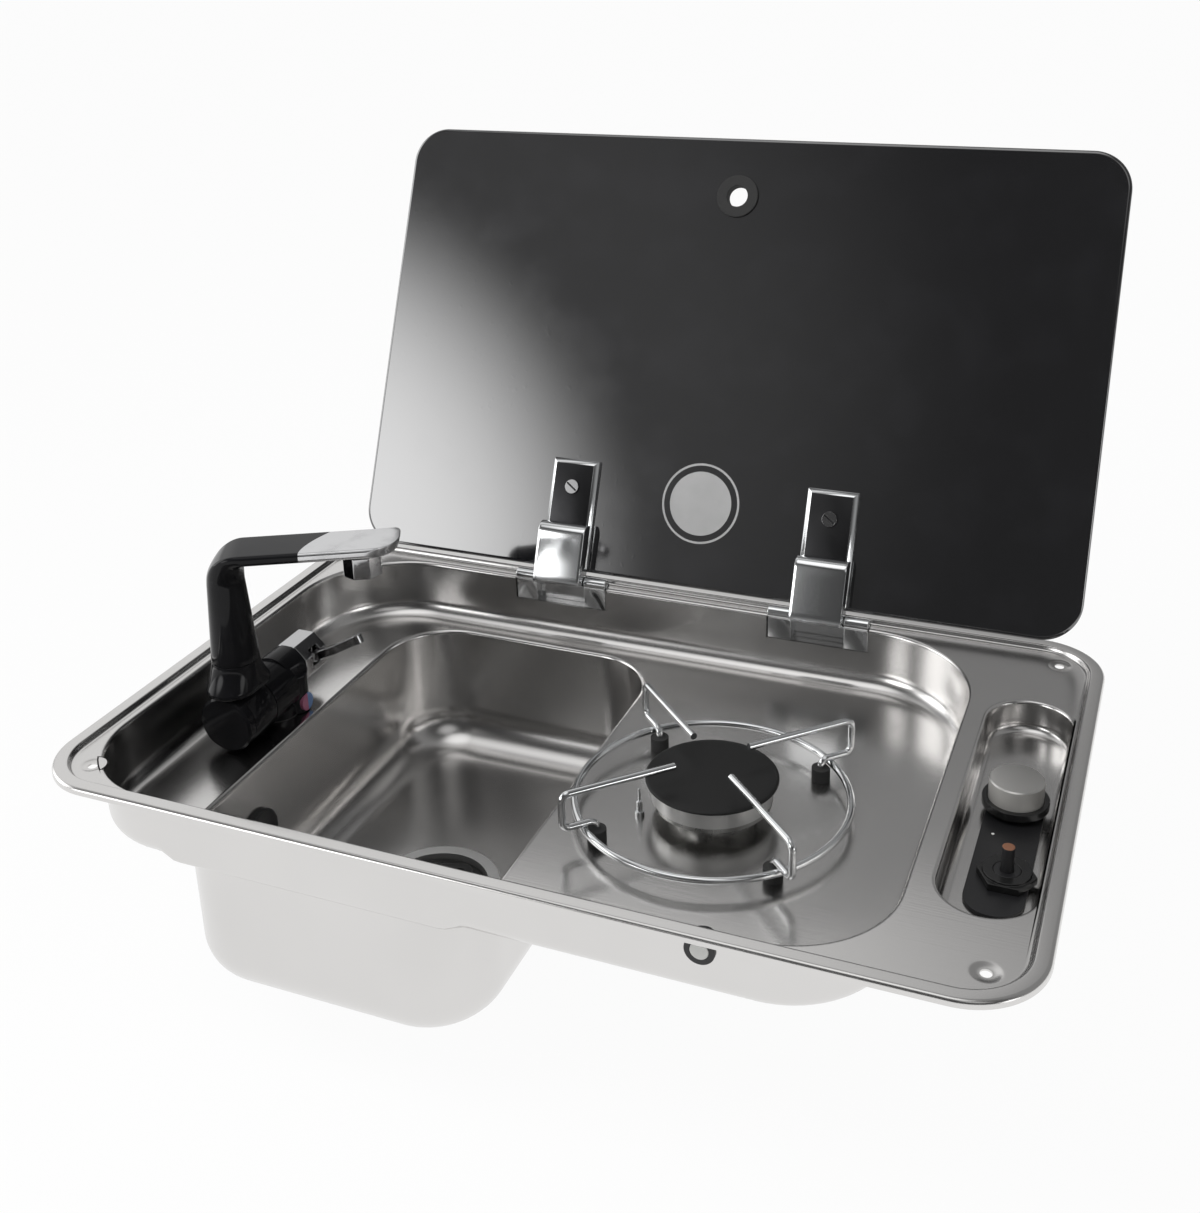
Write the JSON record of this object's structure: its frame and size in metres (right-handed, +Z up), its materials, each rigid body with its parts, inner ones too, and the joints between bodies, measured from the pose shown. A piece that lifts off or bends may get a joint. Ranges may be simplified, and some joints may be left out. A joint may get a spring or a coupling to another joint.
{
  "type": "hob and sink combo",
  "caption": "Drop-in steel tray with a sink bowl, a gas burner with a wire trivet, a folding mixer tap, a control trough and a hinged dark glass lid.",
  "frame": {"origin": "centre of the four corner screw holes, on the worktop plane under the flange", "axes": "+X along the width towards the controls, -Y towards the user, +Z up out of the worktop"},
  "size_m": [0.6, 0.5108, 0.5147],
  "materials": {
    "brushed_steel": "satin brushed stainless sheet",
    "waste_steel": "polished stainless pressing",
    "seal_rubber": "matt black rubber",
    "tap_black": "gloss black",
    "tap_chrome": "bright chrome plate",
    "hinge_chrome": "bright chrome plate",
    "wire_chrome": "plated wire",
    "pale_plastic": "plain pale plastic",
    "disc_blue": "two-colour disc, blue and red",
    "fitting_brass": "machined brass",
    "waste_plastic": "black moulded plastic",
    "burner_casting": "dark cast burner",
    "cap_enamel": "gloss black enamel",
    "ceramic": "white glazed ceramic",
    "pipe_metal": "plain plated metal",
    "knob_silver": "satin silver",
    "button_brown": "dark plastic with a warm brown top",
    "lid_glass": "black printed toughened glass"
  },
  "bodies": {
    "basin": {"rim_deck": "brushed_steel", "hob_tray": "brushed_steel", "sink_bowl": "brushed_steel", "control_trough": "brushed_steel", "rim_seal": "seal_rubber", "tap_base": "tap_black", "tap_end_cap": "tap_black", "mixer_cartridge": "pale_plastic", "temperature_disc": "disc_blue", "tap_gasket": "seal_rubber", "tap_nut": "fitting_brass", "water_tails": "fitting_brass", "waste_flange": "waste_steel", "waste_body": "waste_plastic", "waste_gasket": "seal_rubber", "overflow_cover": "waste_plastic", "overflow_elbow": "waste_plastic", "wall_grommet": "waste_plastic", "grommet_disc": "pale_plastic", "burner_cup": "burner_casting", "burner_ring": "hinge_chrome", "spark_electrode": "ceramic", "thermocouple": "fitting_brass", "mixing_tube": "pipe_metal", "gas_injector": "fitting_brass", "burner_nut": "pipe_metal", "gas_pipe": "pipe_metal", "gas_inlet": "pipe_metal", "control_plate": "tap_black", "gas_valve": "fitting_brass", "igniter_body": "waste_plastic", "igniter_nut": "waste_plastic", "hinge_base_left": "hinge_chrome", "hinge_base_right": "hinge_chrome", "hinge_pins": "pipe_metal"},
    "lid": {"lid_glass": "lid_glass", "lid_grommet": "seal_rubber", "hinge_arm_left": "hinge_chrome", "hinge_arm_right": "hinge_chrome", "hinge_cover_left": "hinge_chrome", "hinge_cover_right": "hinge_chrome", "glass_screws": "pipe_metal"},
    "tap_hub": {"tap_hub": "tap_black"},
    "spout": {"tap_column": "tap_black", "spout_tip": "tap_chrome", "aerator": "tap_chrome"},
    "handle": {"mixer_handle": "tap_chrome"},
    "lever": {"mixer_lever": "tap_chrome"},
    "valve_plug": {"valve_plug": "pipe_metal"},
    "knob": {"valve_spindle": "pipe_metal", "knob_skirt": "tap_black", "knob_cap": "knob_silver"},
    "igniter_button": {"igniter_button": "button_brown"},
    "plug": {"waste_plug": "waste_plastic", "plug_seal": "seal_rubber"},
    "trivet": {"trivet_ring": "wire_chrome", "trivet_arms": "wire_chrome", "trivet_feet": "seal_rubber"},
    "burner_cap": {"burner_cap": "cap_enamel"}
  },
  "joints": [
    {"name": "lid_fold", "type": "hinge", "parent": "basin", "child": "lid", "pos_m": [0, 0.1725, 0.0026], "axis": [1, 0, 0], "range_deg": [0, 113.9]},
    {"name": "tap_fold", "type": "hinge", "parent": "basin", "child": "tap_hub", "pos_m": [-0.245, -0.0445, -0.0215], "axis": [0, 1, 0], "range_deg": [0, 86.5]},
    {"name": "spout_swivel", "type": "hinge", "parent": "tap_hub", "child": "spout", "pos_m": [-0.245, -0.0445, 0.04], "axis": [0, 0, 1], "range_deg": [0, 50]},
    {"name": "mixer_turn", "type": "hinge", "parent": "basin", "child": "handle", "pos_m": [-0.245, 0.02, -0.0155], "axis": [0, 1, 0], "range_deg": [0, 35]},
    {"name": "lever_lift", "type": "hinge", "parent": "handle", "child": "lever", "pos_m": [-0.233, 0.026, -0.013], "axis": [0, 0, -1], "range_deg": [0, 16]},
    {"name": "knob_turn", "type": "hinge", "parent": "basin", "child": "valve_plug", "pos_m": [0.262, 0.0105, -0.03], "axis": [0, 0, 1], "range_deg": [0, 210]},
    {"name": "knob_push", "type": "slide", "parent": "valve_plug", "child": "knob", "axis": [0, 0, -1], "range_m": [0, 0.002], "stiffness_N_per_m": 900, "springref_m": -0.001},
    {"name": "igniter_push", "type": "slide", "parent": "basin", "child": "igniter_button", "axis": [0, 0, -1], "range_m": [0, 0.004], "stiffness_N_per_m": 500, "springref_m": -0.001},
    {"name": "plug_lift", "type": "slide", "parent": "basin", "child": "plug", "axis": [0, 0, 1], "range_m": [0, 0.01]},
    {"name": "trivet_lift", "type": "slide", "parent": "basin", "child": "trivet", "axis": [0, 0, 1], "range_m": [0, 0.007]},
    {"name": "cap_lift", "type": "slide", "parent": "basin", "child": "burner_cap", "axis": [0, 0, 1], "range_m": [0, 0.006]}
  ],
  "couplings": [
    {"joint": "tap_fold", "follows": "lid_fold", "ratio": 0.7585}
  ]
}
